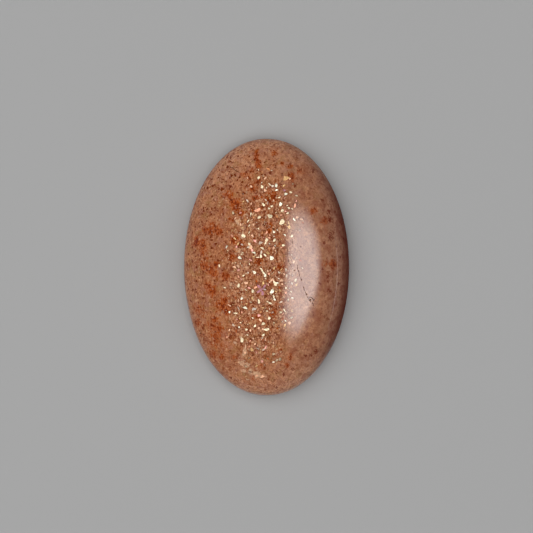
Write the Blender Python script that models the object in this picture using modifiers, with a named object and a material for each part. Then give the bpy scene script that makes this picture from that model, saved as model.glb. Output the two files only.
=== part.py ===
"""Oval sunstone cabochon, modelled as one solid stone at its real size.

The stone lies on its flat back with the dome up. The origin is the centre of the back, X runs across
the stone, Y along it, and Z points up out of the dome. All sizes are in metres.
"""

import math

import bmesh
import bpy

# Driving dimensions of the cut stone.
LENGTH = 0.0280
WIDTH = 0.0180
HEIGHT = 0.0065

# The girdle is the low, almost upright wall between the dome and the back, which a bezel grips.
# It leans in by its draft towards the back.
GIRDLE_HEIGHT = 0.0012
GIRDLE_DRAFT = 0.00006

# The edge of the back is eased by a small rounded bevel.
BACK_BEVEL = 0.00035
BACK_BEVEL_STEPS = 3

# The outline is an oval a little fuller than a true ellipse, whose power would be 2.
OUTLINE_POWER = 2.04

# The dome is a little fuller at its shoulder than half an ellipsoid, whose power would be 2.
DOME_POWER = 2.10

# Facets round the outline, and rings of facets from the girdle to the top of the dome.
OUTLINE_FACETS = 112
DOME_RINGS = 28

# Edges that turn by more than this stay crisp, and the bevel takes only the edge of the back.
SHARP_ANGLE = math.radians(32)
BEVELLED_ANGLE = math.radians(60)

# Points closer than this are the same point.
TOUCHING = 1e-6

# Colour and gloss of the stone as a whole, without its specks and platelets.
STONE_COLOUR = (0.40, 0.17, 0.09, 1.0)
STONE_ROUGHNESS = 0.12
STONE_IOR = 1.54


def clear_scene():
    """Removes every object of the startup scene."""
    for old in list(bpy.data.objects):
        bpy.data.objects.remove(old, do_unlink=True)


def sunstone_material():
    """The polished stone: peach brown feldspar, glossy and not metallic."""
    material = bpy.data.materials.new("polished_sunstone")
    material.use_nodes = True
    shader = material.node_tree.nodes["Principled BSDF"]
    shader.inputs["Base Color"].default_value = STONE_COLOUR
    shader.inputs["Metallic"].default_value = 0.0
    shader.inputs["Roughness"].default_value = STONE_ROUGHNESS
    shader.inputs["IOR"].default_value = STONE_IOR
    material.diffuse_color = STONE_COLOUR
    return material


def on_oval(x, y):
    """The place on the stone of a point of the unit disc, whose rim becomes the oval outline."""
    radius = math.hypot(x, y)
    if radius < TOUCHING:
        return 0.0, 0.0
    across, along = abs(x / radius), abs(y / radius)
    fullness = (across**OUTLINE_POWER + along**OUTLINE_POWER) ** (-1 / OUTLINE_POWER)
    return x * fullness * WIDTH / 2, y * fullness * LENGTH / 2


def dome_height(radius):
    """Height of the dome above the girdle, at a share of the way from its middle to its rim."""
    inside = max(0.0, 1.0 - min(radius, 1.0) ** DOME_POWER)
    return (HEIGHT - GIRDLE_HEIGHT) * math.sqrt(inside)


def shape_dome(bm):
    """Makes a sphere, keeps its upper half and shapes that into the dome on top of the girdle."""
    bmesh.ops.create_uvsphere(bm, u_segments=OUTLINE_FACETS, v_segments=2 * DOME_RINGS, radius=1.0)
    bmesh.ops.bisect_plane(
        bm,
        geom=bm.verts[:] + bm.edges[:] + bm.faces[:],
        dist=TOUCHING,
        plane_co=(0, 0, 0),
        plane_no=(0, 0, 1),
        clear_inner=True,
    )
    for vertex in bm.verts:
        radius = math.hypot(vertex.co.x, vertex.co.y)
        x, y = on_oval(vertex.co.x, vertex.co.y)
        vertex.co = (x, y, GIRDLE_HEIGHT + dome_height(radius))


def add_girdle_and_back(bm):
    """Draws the rim of the dome down to the back as the girdle wall, and closes the flat back."""
    rim = [edge for edge in bm.edges if edge.is_boundary]
    wall = bmesh.ops.extrude_edge_only(bm, edges=rim)["geom"]
    foot = [item for item in wall if isinstance(item, bmesh.types.BMVert)]
    for vertex in foot:
        reach = math.hypot(vertex.co.x, vertex.co.y)
        inwards = (reach - GIRDLE_DRAFT) / reach
        vertex.co = (vertex.co.x * inwards, vertex.co.y * inwards, 0.0)
    bmesh.ops.holes_fill(bm, edges=[edge for edge in bm.edges if edge.is_boundary])
    bmesh.ops.recalc_face_normals(bm, faces=bm.faces[:])


def build_cabochon(collection):
    """Builds the whole stone as one object and bevels the edge of its back."""
    bm = bmesh.new()
    shape_dome(bm)
    add_girdle_and_back(bm)
    mesh = bpy.data.meshes.new("cabochon")
    bm.to_mesh(mesh)
    bm.free()
    mesh.materials.append(sunstone_material())
    mesh.shade_smooth()
    mesh.set_sharp_from_angle(angle=SHARP_ANGLE)

    stone = bpy.data.objects.new("cabochon", mesh)
    collection.objects.link(stone)
    bevel = stone.modifiers.new("back_bevel", "BEVEL")
    bevel.width = BACK_BEVEL
    bevel.segments = BACK_BEVEL_STEPS
    bevel.limit_method = "ANGLE"
    bevel.angle_limit = BEVELLED_ANGLE
    bevel.use_clamp_overlap = False


def main():
    """Builds the stone in a collection named for it."""
    clear_scene()
    collection = bpy.data.collections.new("sunstone_cabochon")
    bpy.context.scene.collection.children.link(collection)
    build_cabochon(collection)


main()
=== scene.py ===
"""The looks of an oval sunstone cabochon that lies on its flat back under a straight-down camera.

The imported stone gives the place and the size. This script makes the polished stone itself, with the
platelets that glitter in it, and the floor, lights and camera of a small studio. Lengths that a
jeweller would give are in millimetres, and everything that reaches Blender is in metres.
"""

import logging
import math
from bisect import bisect
from dataclasses import dataclass, field
from enum import Enum
from functools import partial

import bmesh
import bpy
import numpy as np
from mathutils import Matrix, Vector
from mathutils.geometry import delaunay_2d_cdt


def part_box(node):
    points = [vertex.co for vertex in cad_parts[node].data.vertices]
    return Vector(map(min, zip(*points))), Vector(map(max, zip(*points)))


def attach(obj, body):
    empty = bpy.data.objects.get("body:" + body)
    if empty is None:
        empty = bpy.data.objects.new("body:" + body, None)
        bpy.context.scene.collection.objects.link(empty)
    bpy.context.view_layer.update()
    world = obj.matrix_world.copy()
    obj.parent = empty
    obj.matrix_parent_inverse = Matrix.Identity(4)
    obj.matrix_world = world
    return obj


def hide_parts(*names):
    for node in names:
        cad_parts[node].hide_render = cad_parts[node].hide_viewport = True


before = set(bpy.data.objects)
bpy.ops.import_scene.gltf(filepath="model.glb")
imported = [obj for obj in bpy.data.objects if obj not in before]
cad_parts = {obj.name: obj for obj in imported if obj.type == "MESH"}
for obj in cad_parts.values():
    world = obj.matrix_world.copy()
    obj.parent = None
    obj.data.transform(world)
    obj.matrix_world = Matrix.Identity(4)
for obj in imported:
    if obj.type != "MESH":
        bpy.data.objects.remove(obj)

log = logging.getLogger("sunstone")

Array = np.ndarray
Tree = bpy.types.NodeTree
Node = bpy.types.Node

MM = 0.001
STONE = "cabochon"

# The stone's oval is this long in the photograph, whose frame is square.
FRAME_PX = 533
OVAL_LENGTH_PX = 256.65
OVAL_CENTRE_PX = (266.6, 267.1)

# The lists below give places as the photograph shows them, with the dome a little nearer than its rim.
NEARER = 0.98

# A platelet's corners lie on its oval, so a large one is drawn this much larger to cover as much.
FULLER = 1.1

# Light bends in feldspar by about this index.
FELDSPAR_IOR = 1.54

# Platelets keep this many millimetres clear of the hollows in the polish.
HOLLOW_GAP = 0.06

# Nothing is divided by less than this.
TINY = 1e-12

# Settings that several nodes share.
TIMES = {"operation": "MULTIPLY"}
SCALED = {"operation": "SCALE"}
SOFT = {"interpolation_type": "SMOOTHSTEP"}
NUMBER = {"data_type": "FLOAT"}


class Tint(Enum):
    """Platelet colours, the pale ones a painted glint, each with its share of the small ones."""

    CREAM = ("#F4E2BC", 0.13)
    WHITE = ("#FBF6DA", 0.05)
    PEACH = ("#EAB794", 0.21)
    GOLD = ("#DCB078", 0.1)
    SALMON = ("#EFA988", 0.08)
    PINK = ("#F8B0A0", 0.03)
    LILAC = ("#B67D86", 0.0)
    SILVER = ("#D2BCA6", 0.06)
    STEEL = ("#B4A698", 0.0)
    TAN = ("#B87C52", 0.19)
    RUST = ("#9A4416", 0.1)
    UMBER = ("#5A260E", 0.05)

    @property
    def colour(self) -> str:
        """The tint as an sRGB hex colour."""
        return self.value[0]

    @property
    def share(self) -> float:
        """The part of the small platelets that have it."""
        return self.value[1]


# The larger platelets, one by one: x, y, length and width in mm, turn in degrees, and colour.
LARGE_PLATELETS = (
    (-0.5, 8.8, 0.45, 0.2, 105, Tint.CREAM), (0.65, 8.9, 0.35, 0.2, 135, Tint.SILVER),
    (1.05, 8.95, 0.48, 0.2, 90, Tint.WHITE), (1.1, 8.45, 0.26, 0.24, 90, Tint.WHITE),
    (1.95, 8.42, 0.36, 0.17, 145, Tint.LILAC), (2.12, 8.02, 0.36, 0.26, 100, Tint.WHITE),
    (2.65, 8.2, 0.3, 0.18, 130, Tint.CREAM), (3.25, 7.85, 0.34, 0.2, 10, Tint.CREAM),
    (2.15, 9.8, 0.6, 0.52, 110, Tint.GOLD), (2.55, 9.7, 0.3, 0.14, 60, Tint.PEACH),
    (1.53, 6.9, 0.5, 0.25, 90, Tint.WHITE), (1.72, 6.2, 0.42, 0.22, 80, Tint.CREAM),
    (2.05, 6.1, 0.24, 0.12, 0, Tint.PINK), (3.1, 6.75, 0.55, 0.15, 83, Tint.SALMON),
    (-1.0, 6.25, 0.6, 0.34, 175, Tint.SALMON), (-0.35, 6.85, 0.5, 0.15, 125, Tint.CREAM),
    (0.55, 6.66, 0.26, 0.18, 140, Tint.CREAM), (0.27, 6.42, 0.24, 0.15, 130, Tint.CREAM),
    (-0.1, 7.35, 0.2, 0.16, 0, Tint.WHITE), (-0.2, 6.35, 0.2, 0.16, 60, Tint.PEACH),
    (0.37, 5.58, 0.55, 0.32, 130, Tint.CREAM), (-0.8, 5.45, 0.4, 0.26, 80, Tint.CREAM),
    (1.68, 4.95, 0.8, 0.38, 78, Tint.CREAM), (1.6, 5.7, 0.28, 0.24, 90, Tint.SALMON),
    (2.3, 5.9, 0.3, 0.15, 70, Tint.CREAM), (2.78, 6.38, 0.22, 0.18, 0, Tint.CREAM),
    (2.42, 6.48, 0.32, 0.15, 130, Tint.CREAM), (3.35, 5.45, 0.35, 0.22, 95, Tint.PEACH),
    (-1.9, 6.3, 0.28, 0.15, 90, Tint.SALMON), (-2.85, 5.95, 0.28, 0.2, 90, Tint.PINK),
    (-0.9, 4.2, 0.2, 0.17, 0, Tint.CREAM), (0.8, 3.85, 0.32, 0.16, 120, Tint.WHITE),
    (1.98, 3.52, 0.28, 0.24, 0, Tint.WHITE), (2.75, 3.4, 0.38, 0.19, 75, Tint.CREAM),
    (0.0, 2.98, 0.5, 0.22, 84, Tint.CREAM), (-0.12, 2.62, 0.36, 0.13, 70, Tint.CREAM),
    (0.28, 3.2, 0.3, 0.13, 140, Tint.SALMON), (0.85, 2.95, 0.5, 0.2, 68, Tint.CREAM),
    (-1.28, 2.88, 0.44, 0.38, 0, Tint.PINK), (-0.65, 2.68, 0.4, 0.34, 110, Tint.SILVER),
    (-1.75, 2.25, 0.68, 0.26, 112, Tint.PEACH), (-1.98, 2.2, 0.34, 0.2, 60, Tint.SILVER),
    (-1.88, 2.55, 0.3, 0.16, 115, Tint.CREAM), (-1.58, 1.85, 0.36, 0.16, 100, Tint.PINK),
    (1.84, 2.4, 0.32, 0.26, 80, Tint.CREAM), (1.98, 2.08, 0.42, 0.2, 140, Tint.CREAM),
    (-0.5, 2.08, 0.42, 0.28, 0, Tint.CREAM), (0.78, 2.1, 0.32, 0.18, 90, Tint.PEACH),
    (-1.4, 1.6, 0.42, 0.22, 0, Tint.WHITE), (-0.18, 1.32, 0.42, 0.13, 130, Tint.CREAM),
    (0.56, 1.02, 0.55, 0.3, 110, Tint.WHITE), (-0.58, 1.62, 0.5, 0.14, 86, Tint.SILVER),
    (-0.62, 1.2, 0.44, 0.16, 100, Tint.CREAM), (-0.98, 1.08, 0.46, 0.14, 12, Tint.CREAM),
    (0.14, 1.02, 0.4, 0.12, 128, Tint.PEACH), (-1.75, 0.8, 0.36, 0.14, 130, Tint.PINK),
    (-0.55, -0.25, 0.5, 0.13, 125, Tint.CREAM), (-0.36, -0.58, 0.46, 0.13, 128, Tint.CREAM),
    (-0.18, -0.85, 0.5, 0.19, 102, Tint.WHITE), (-1.32, -0.55, 0.42, 0.2, 125, Tint.WHITE),
    (0.25, -0.72, 0.3, 0.13, 130, Tint.SALMON), (-3.05, -0.3, 0.36, 0.24, 90, Tint.PINK),
    (-3.05, -2.0, 0.5, 0.2, 88, Tint.CREAM), (-2.78, -1.3, 0.25, 0.22, 0, Tint.PINK),
    (-2.25, -1.7, 0.42, 0.22, 140, Tint.PEACH), (0.92, -1.75, 0.72, 0.2, 118, Tint.CREAM),
    (1.12, -1.7, 0.38, 0.16, 8, Tint.WHITE), (0.72, -1.35, 0.42, 0.14, 112, Tint.PEACH),
    (0.45, -1.5, 0.6, 0.15, 52, Tint.PEACH), (0.6, -2.62, 0.58, 0.3, 78, Tint.WHITE),
    (-1.5, -2.6, 0.45, 0.2, 100, Tint.CREAM), (-1.2, -2.22, 0.42, 0.2, 55, Tint.SALMON),
    (-0.78, -2.56, 0.74, 0.24, 52, Tint.LILAC), (-0.44, -2.82, 0.6, 0.2, 98, Tint.LILAC),
    (-0.26, -2.14, 0.66, 0.18, 66, Tint.LILAC), (-0.84, -2.08, 0.56, 0.2, 128, Tint.LILAC),
    (-0.52, -2.38, 0.36, 0.24, 30, Tint.LILAC), (-0.2, -2.42, 0.3, 0.14, 140, Tint.STEEL),
    (1.45, -2.55, 0.28, 0.13, 140, Tint.GOLD), (-2.7, -3.4, 0.36, 0.2, 75, Tint.WHITE),
    (-0.85, -3.72, 0.6, 0.16, 100, Tint.CREAM), (-1.36, -4.55, 0.42, 0.36, 90, Tint.STEEL),
    (-2.35, -4.42, 0.46, 0.34, 25, Tint.WHITE), (-2.2, -4.0, 0.22, 0.16, 0, Tint.GOLD),
    (-3.4, -5.02, 0.5, 0.15, 8, Tint.CREAM), (0.05, -4.78, 0.26, 0.2, 45, Tint.CREAM),
    (0.1, -3.75, 0.26, 0.2, 0, Tint.CREAM), (-0.4, -4.42, 0.32, 0.12, 5, Tint.GOLD),
    (1.55, -4.9, 0.3, 0.17, 135, Tint.CREAM), (0.3, -5.55, 0.38, 0.18, 90, Tint.CREAM),
    (-0.82, -5.25, 0.34, 0.26, 120, Tint.PINK), (2.8, -3.35, 0.26, 0.2, 45, Tint.WHITE),
    (2.72, -5.5, 0.26, 0.2, 150, Tint.CREAM), (2.05, -5.85, 0.22, 0.19, 0, Tint.WHITE),
    (-2.85, -6.05, 0.2, 0.15, 0, Tint.CREAM), (0.0, -6.78, 0.55, 0.26, 165, Tint.CREAM),
    (-0.35, -6.15, 0.42, 0.3, 90, Tint.CREAM), (-3.0, -6.55, 0.26, 0.13, 110, Tint.WHITE),
    (-2.2, -6.8, 0.3, 0.2, 120, Tint.CREAM), (-2.1, -7.4, 0.22, 0.18, 0, Tint.CREAM),
    (-1.8, -8.05, 0.24, 0.16, 90, Tint.SALMON), (-0.95, -8.9, 0.38, 0.12, 145, Tint.SILVER),
    (-0.1, -8.75, 0.45, 0.15, 75, Tint.PINK), (0.78, -9.5, 0.32, 0.22, 120, Tint.CREAM),
    (1.12, -10.2, 0.4, 0.16, 60, Tint.CREAM), (0.75, -10.4, 0.28, 0.2, 60, Tint.WHITE),
    (1.55, -9.25, 0.32, 0.2, 130, Tint.PEACH), (-0.5, -10.3, 0.36, 0.2, 80, Tint.PINK),
    (-2.0, -10.7, 0.36, 0.24, 150, Tint.PEACH), (-2.65, -10.5, 0.4, 0.2, 160, Tint.PEACH),
    (-2.55, -11.3, 0.34, 0.2, 110, Tint.PEACH), (-1.8, -11.5, 0.38, 0.26, 120, Tint.PEACH),
    (-2.06, -12.4, 0.3, 0.2, 60, Tint.PEACH), (-1.1, -11.9, 0.42, 0.28, 100, Tint.PEACH),
    (-0.43, -12.0, 0.4, 0.36, 90, Tint.PEACH), (-3.35, -10.2, 0.34, 0.18, 120, Tint.TAN),
    (-2.7, -7.95, 0.64, 0.24, 95, Tint.CREAM), (-2.3, -8.7, 0.56, 0.12, 88, Tint.PEACH),
    (-2.4, -9.3, 0.5, 0.22, 115, Tint.PEACH),
)

# Rusty stains under the polish: x, y and radius in mm, and strength.
STAINS = (
    (-3.5, 7.0, 0.45, 1.0), (-3.4, 6.4, 0.35, 0.9), (-4.1, 7.9, 0.4, 0.8), (-2.5, 10.1, 0.3, 0.6),
    (-1.6, 10.5, 0.3, 0.5), (-1.08, 12.75, 0.2, 0.8), (-1.12, 12.35, 0.2, 0.95), (-1.12, 11.95, 0.2, 1.0),
    (-1.0, 11.55, 0.24, 1.05), (-0.88, 11.2, 0.3, 1.0), (0.82, 12.6, 0.3, 0.7), (1.7, 11.4, 0.18, 1.0),
    (2.45, 11.0, 0.18, 0.9), (2.75, 11.1, 0.18, 0.9), (-1.0, 9.4, 0.25, 0.7), (-2.7, 5.9, 0.3, 0.8),
    (-1.9, 9.8, 0.25, 0.5), (2.75, 9.9, 0.4, 0.8), (3.7, 10.6, 0.35, 0.6), (0.55, 7.6, 0.6, 0.9),
    (-1.6, 8.7, 0.35, 0.8), (-1.2, 7.5, 0.3, 0.7), (0.45, 4.5, 0.25, 1.1), (0.3, 4.0, 0.22, 1.0),
    (-3.0, 2.5, 0.35, 1.1), (-3.5, 3.0, 0.35, 1.1), (-3.7, 1.0, 0.35, 0.8), (-0.85, 0.65, 0.32, 1.2),
    (1.5, 0.05, 0.3, 1.0), (-6.7, 4.1, 0.4, 0.6), (-6.0, 4.6, 0.4, 0.5), (-6.1, 3.95, 0.3, 0.85),
    (-5.5, 4.2, 0.4, 0.5), (-5.2, 3.9, 0.32, 0.85), (-7.75, 3.1, 0.22, 0.8), (-7.7, 2.6, 0.3, 0.9),
    (-7.1, 2.7, 0.4, 0.65), (-7.0, 2.0, 0.45, 0.6), (-6.9, 1.4, 0.3, 0.4), (-3.9, 5.2, 0.25, 0.5),
    (-8.1, 7.0, 0.2, 0.6), (-6.6, 1.0, 0.3, 0.45), (-6.8, 0.2, 0.4, 0.8), (-6.2, -0.3, 0.4, 0.8),
    (-5.7, -0.7, 0.35, 0.8), (-5.5, 0.3, 0.25, 1.0), (-4.5, -1.0, 0.35, 0.8), (-6.0, -2.6, 0.45, 0.8),
    (-6.4, -2.0, 0.4, 0.6), (-4.6, -3.5, 0.4, 0.7), (-4.9, -4.3, 0.55, 0.8), (-4.4, -4.8, 0.35, 0.8),
    (-7.5, -4.6, 0.5, 0.5), (-7.6, -6.2, 0.4, 0.6), (-5.7, -5.7, 0.3, 0.8), (-5.9, -6.5, 0.3, 0.8),
    (-5.1, -6.8, 0.35, 0.8), (-5.6, -7.7, 0.45, 0.7), (-6.3, -6.6, 1.3, 0.28), (-5.2, -8.6, 1.2, 0.28),
    (0.6, -5.0, 0.35, 0.9), (-0.7, -5.7, 0.3, 0.8), (-1.2, -5.3, 0.3, 0.6), (1.5, -9.1, 0.22, 0.8),
    (2.6, -9.9, 0.3, 0.6), (2.25, -10.75, 0.25, 0.7), (-0.75, -10.95, 0.3, 0.45), (-1.5, -12.3, 0.3, 0.4),
    (-5.85, -9.6, 0.4, 0.6), (-4.95, -9.9, 0.3, 0.6), (-5.5, -8.1, 0.3, 0.7), (-3.5, -9.9, 0.25, 0.6),
    (6.5, 5.05, 0.4, 0.6), (7.3, 0.3, 0.35, 1.0), (6.5, 0.4, 0.35, 0.35), (5.16, 6.17, 0.35, 0.6),
)

# Darker smudges, mostly on the right: x, y and radius in mm, and strength.
SMUDGES = (
    (5.16, 10.66, 0.22, 0.8), (3.7, 10.7, 0.25, 0.7), (3.1, 8.84, 0.12, 1.0), (6.13, 7.38, 0.14, 0.9),
    (6.86, 6.1, 0.22, 0.9), (7.1, 5.2, 0.28, 0.8), (8.37, 4.78, 0.2, 0.55), (7.16, 3.8, 0.26, 0.7),
    (6.98, 3.32, 0.3, 0.8), (8.43, 3.2, 0.22, 0.5), (6.3, 2.65, 0.14, 1.0), (5.1, 1.99, 0.1, 0.8),
    (7.4, 0.15, 0.2, 0.8), (8.1, 1.1, 0.13, 0.8), (6.13, -0.2, 0.12, 0.9), (6.73, -0.98, 0.16, 1.0),
    (5.83, -1.77, 0.15, 0.9), (6.73, -1.71, 0.13, 0.9), (7.94, -1.83, 0.15, 0.9), (6.85, -2.6, 0.18, 0.8),
    (-3.96, -12.2, 0.15, 0.9), (1.2, -11.5, 0.2, 0.7), (1.9, -11.8, 0.18, 0.8), (1.1, -13.35, 0.15, 0.7),
    (2.9, -11.2, 0.15, 0.8), (4.3, -9.7, 0.18, 0.8), (4.95, -9.75, 0.16, 0.8), (5.4, -9.3, 0.2, 0.9),
    (-7.75, 2.85, 0.2, 0.7), (-3.9, 8.9, 0.14, 1.0), (-5.4, 6.2, 0.16, 0.9),
)

# Soft pale glows of platelets that lie deep in the stone: x, y and radius in mm, and strength.
GLOWS = (
    (-2.75, -7.7, 0.22, 0.6), (-2.5, -8.4, 0.18, 0.5), (-2.45, -9.1, 0.2, 0.7), (-2.4, -9.45, 0.24, 0.8),
    (-2.7, -10.55, 0.3, 0.8), (-2.05, -10.75, 0.24, 0.7), (-2.55, -11.3, 0.26, 0.6),
    (-1.75, -11.5, 0.24, 0.6), (-1.1, -11.9, 0.3, 0.8), (-0.45, -12.05, 0.26, 0.7),
    (-2.05, -12.4, 0.2, 0.5), (-0.55, -10.3, 0.2, 0.5), (-0.05, -8.8, 0.2, 0.5), (0.15, -5.6, 0.22, 0.4),
    (-1.9, 4.9, 0.25, 0.5), (-2.6, 3.4, 0.25, 0.5), (-2.3, 5.7, 0.22, 0.5), (-3.1, 5.0, 0.25, 0.6),
    (-2.6, 4.3, 0.2, 0.5), (-3.4, 3.9, 0.2, 0.5), (-3.2, 1.9, 0.25, 0.6), (-2.6, 1.5, 0.2, 0.5),
    (-3.6, -0.6, 0.2, 0.4), (-3.9, -1.9, 0.2, 0.4),
)

# Hair cracks in the polish, each with its course, half its width and its depth in mm: the main run in
# three pieces, two branches at its foot, a side run in two, and two short ones above.
CRACKS = (
    ([(3.36, 0.3), (3.38, -0.1), (3.5, -0.55), (3.6, -0.95), (3.77, -1.4)], 0.04, 0.07),
    ([(3.96, -2.0), (4.06, -2.35), (4.24, -2.72), (4.32, -2.98)], 0.034, 0.06),
    ([(4.38, -3.02), (4.44, -3.22), (4.6, -3.42), (4.66, -3.62), (4.86, -3.86)], 0.05, 0.08),
    ([(4.6, -3.36), (4.76, -3.3), (4.94, -3.3), (4.98, -3.46), (5.14, -3.58), (5.24, -3.84)], 0.055, 0.08),
    ([(4.92, -3.78), (5.02, -4.02), (5.1, -4.04), (5.16, -4.28)], 0.05, 0.07),
    ([(2.26, 2.4), (2.28, 1.7), (2.3, 1.25)], 0.03, 0.05),
    ([(2.32, 1.05), (2.38, 0.7), (2.5, 0.35), (2.6, 0.22), (2.72, 0.0)], 0.042, 0.06),
    ([(2.76, 3.1), (2.8, 2.8), (2.86, 2.5)], 0.035, 0.04),
    ([(-4.31, 11.2), (-3.8, 10.95), (-3.4, 10.6), (-3.2, 10.55), (-2.98, 10.33)], 0.048, 0.05),
)

# Tiny pits in the polish: x, y, radius and depth in mm.
PITS = (
    (3.79, -1.36, 0.09, 0.07),
    (4.37, -2.96, 0.1, 0.07),
    (4.8, -3.58, 0.1, 0.07),
    (5.22, -3.56, 0.06, 0.05),
    (3.0, -0.36, 0.09, 0.05),
    (3.7, 2.2, 0.06, 0.04),
    (-3.4, 9.97, 0.08, 0.05),
)


def linear(hex_colour: str) -> tuple[float, float, float, float]:
    """Turns an sRGB hex colour to the linear values that the shaders take.

    Args:
        hex_colour: The colour as #RRGGBB.

    Returns:
        Linear red, green, blue and an alpha of 1.
    """
    parts = [int(hex_colour[i : i + 2], 16) / 255 for i in (1, 3, 5)]
    values = [p / 12.92 if p <= 0.04045 else ((p + 0.055) / 1.055) ** 2.4 for p in parts]
    return (*values, 1.0)


def add_node(tree: Tree, kind: str, settings: dict | None = None, **links: object) -> Node:
    """Adds a node to a tree, with its settings, values and links.

    Args:
        tree: The shader or geometry tree.
        kind: The node's type.
        settings: Properties of the node itself, such as its operation.
        links: A value, an output socket or a node for each input, as in_NUMBER or by the input's name
            with underscores for spaces. A node stands for its first output.

    Returns:
        The new node.
    """
    node = tree.nodes.new(kind)
    for name, value in (settings or {}).items():
        setattr(node, name, value)
    for name, value in links.items():
        socket = node.inputs[int(name[3:]) if name.startswith("in_") else name.replace("_", " ")]
        if isinstance(value, bpy.types.NodeSocket):
            tree.links.new(value, socket)
        elif isinstance(value, Node):
            tree.links.new(value.outputs[0], socket)
        else:
            socket.default_value = value
    return node


def blank(owner: bpy.types.Material | bpy.types.Light | bpy.types.World) -> partial:
    """Empties the node tree of a material, a light or a world.

    Args:
        owner: What has the tree.

    Returns:
        add_node for that tree.
    """
    owner.use_nodes = True
    owner.node_tree.nodes.clear()
    return partial(add_node, owner.node_tree)


def millimetres(add: partial) -> Node:
    """Gives the place in the stone in millimetres, for patterns of a real size."""
    place = add("ShaderNodeTexCoord").outputs["Object"]
    return add("ShaderNodeVectorMath", SCALED, in_0=place, Scale=1 / MM)


def new_object(name: str, data: bpy.types.ID) -> bpy.types.Object:
    """Makes an object of a mesh, a light or a camera, in the scene.

    Args:
        name: The object's name.
        data: What it shows.

    Returns:
        The object.
    """
    made = bpy.data.objects.new(name, data)
    bpy.context.scene.collection.objects.link(made)
    return made


def smooth(low: float, high: float, value: Array) -> Array:
    """Goes smoothly from 0 at the low value to 1 at the high one, which may be the smaller."""
    share = np.clip((value - low) / (high - low), 0, 1)
    return share * share * (3 - 2 * share)


@dataclass(frozen=True)
class Cut:
    """The lapidary's cut: sizes and the formulas of the oval outline and the dome, in metres."""

    width: float
    length: float
    height: float
    girdle: float = 1.2 * MM
    draft: float = 0.06 * MM
    bevel: float = 0.35 * MM
    outline_power: float = 2.04
    dome_power: float = 2.10
    # Hand polishing leaves the dome very slightly wavy, least at the rim: direction in degrees, wave
    # length in mm, height in mm and phase of each wave.
    waves: tuple[tuple[float, float, float, float], ...] = (
        (12, 5.3, 0.0050, 3.9),
        (68, 3.7, 0.0022, 4.4),
        (141, 4.6, 0.0034, 4.0),
        (100, 7.9, 0.0060, 4.6),
    )
    wave_fade: float = 6

    def share(self, x: Array, y: Array) -> Array:
        """How far points of the plan lie out from the middle, as a share of the way to the rim."""
        n = self.outline_power
        return (np.abs(2 * x / self.width) ** n + np.abs(2 * y / self.length) ** n) ** (1 / n)

    def ripple(self, x: Array, y: Array) -> tuple[Array, Array, Array]:
        """Adds up the waves in the polish.

        Args:
            x: Places across the plan.
            y: Places along it.

        Returns:
            The height of the waves, and their slopes across and along.
        """
        fade = 1 - np.clip(self.share(x, y), 0, 1) ** self.wave_fade
        total = [np.zeros_like(x) for _ in range(3)]
        for degrees, long, high, phase in self.waves:
            c, s = math.cos(math.radians(degrees)), math.sin(math.radians(degrees))
            rate = 2 * math.pi / (long * MM)
            turn = rate * (x * c + y * s) + phase
            total[0] += high * MM * np.sin(turn) * fade
            total[1] += high * MM * rate * c * np.cos(turn) * fade
            total[2] += high * MM * rate * s * np.cos(turn) * fade
        return tuple(total)

    def dome(self, x: Array, y: Array) -> Array:
        """Heights of the dome over points of the plan."""
        inside = np.clip(1 - self.share(x, y) ** self.dome_power, 0, 1)
        return self.girdle + (self.height - self.girdle) * np.sqrt(inside) + self.ripple(x, y)[0]

    def normals(self, points: Array) -> Array:
        """Works out the exact outward normals of the dome, the girdle and the bevel.

        Args:
            points: Points of the stone, as rows.

        Returns:
            Their normals, as rows of unit length.
        """
        x, y, z = points.T
        n, p, h = self.outline_power, self.dome_power, self.height - self.girdle
        a, b = self.width / 2, self.length / 2
        across = np.sign(x) * np.abs(x / a) ** (n - 1) / a
        along = np.sign(y) * np.abs(y / b) ** (n - 1) / b
        slope = p * np.maximum(self.share(x, y), TINY) ** (p - n)
        lift, tilt_x, tilt_y = self.ripple(x, y)
        up = 2 * np.maximum(z - lift - self.girdle, 0) / h**2
        dome = np.stack([slope * across - tilt_x * up, slope * along - tilt_y * up, up], 1)
        flat = np.stack([across, along, np.zeros_like(x)], 1)
        flat /= np.maximum(np.linalg.norm(flat, axis=1, keepdims=True), TINY)
        down = np.clip(1 - z / self.bevel, 0, 1)[:, None]
        wall = flat * np.sqrt(1 - down**2) - np.array([0, 0, 1.0]) * down
        found = np.where((z > self.girdle * 0.999)[:, None], dome, wall)
        return found / np.linalg.norm(found, axis=1, keepdims=True)

    def rim(self, count: int, share: float = 1.0) -> Array:
        """Spaces points along a ring of the oval.

        Args:
            count: How many points.
            share: How far out the ring lies, as a share of the way to the rim.

        Returns:
            Rows of x and y.
        """
        turn = np.arange(count) * 2 * math.pi / count
        c, s, n = np.cos(turn), np.sin(turn), self.outline_power
        full = share * (np.abs(c) ** n + np.abs(s) ** n) ** (-1 / n)
        return np.stack([c * full * self.width / 2, s * full * self.length / 2], 1)


@dataclass(frozen=True)
class GlitterBand:
    """The slanting oval zone in which the platelets catch the light, in millimetres and degrees."""

    centre: tuple[float, float] = (-0.25, -0.5)
    left_width: float = 5.2
    right_width: float = 4.5
    half_length: float = 12.2
    lean: float = 4.6

    def strength(self, x: Array, y: Array) -> Array:
        """Says how thickly the platelets lie.

        Args:
            x: Places across the plan.
            y: Places along it.

        Returns:
            A strength from 0 outside the band to 1 in its middle.
        """
        c, s = math.cos(math.radians(self.lean)), math.sin(math.radians(self.lean))
        along = ((x - self.centre[0]) * s + (y - self.centre[1]) * c) / self.half_length
        across = (x - self.centre[0]) * c - (y - self.centre[1]) * s
        across = across / np.where(across < 0, self.left_width, self.right_width)
        reach = np.sqrt(np.abs(along) ** 2.6 + np.abs(across) ** 2)
        return 1 - smooth(0.2, 1.0, reach)


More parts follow.
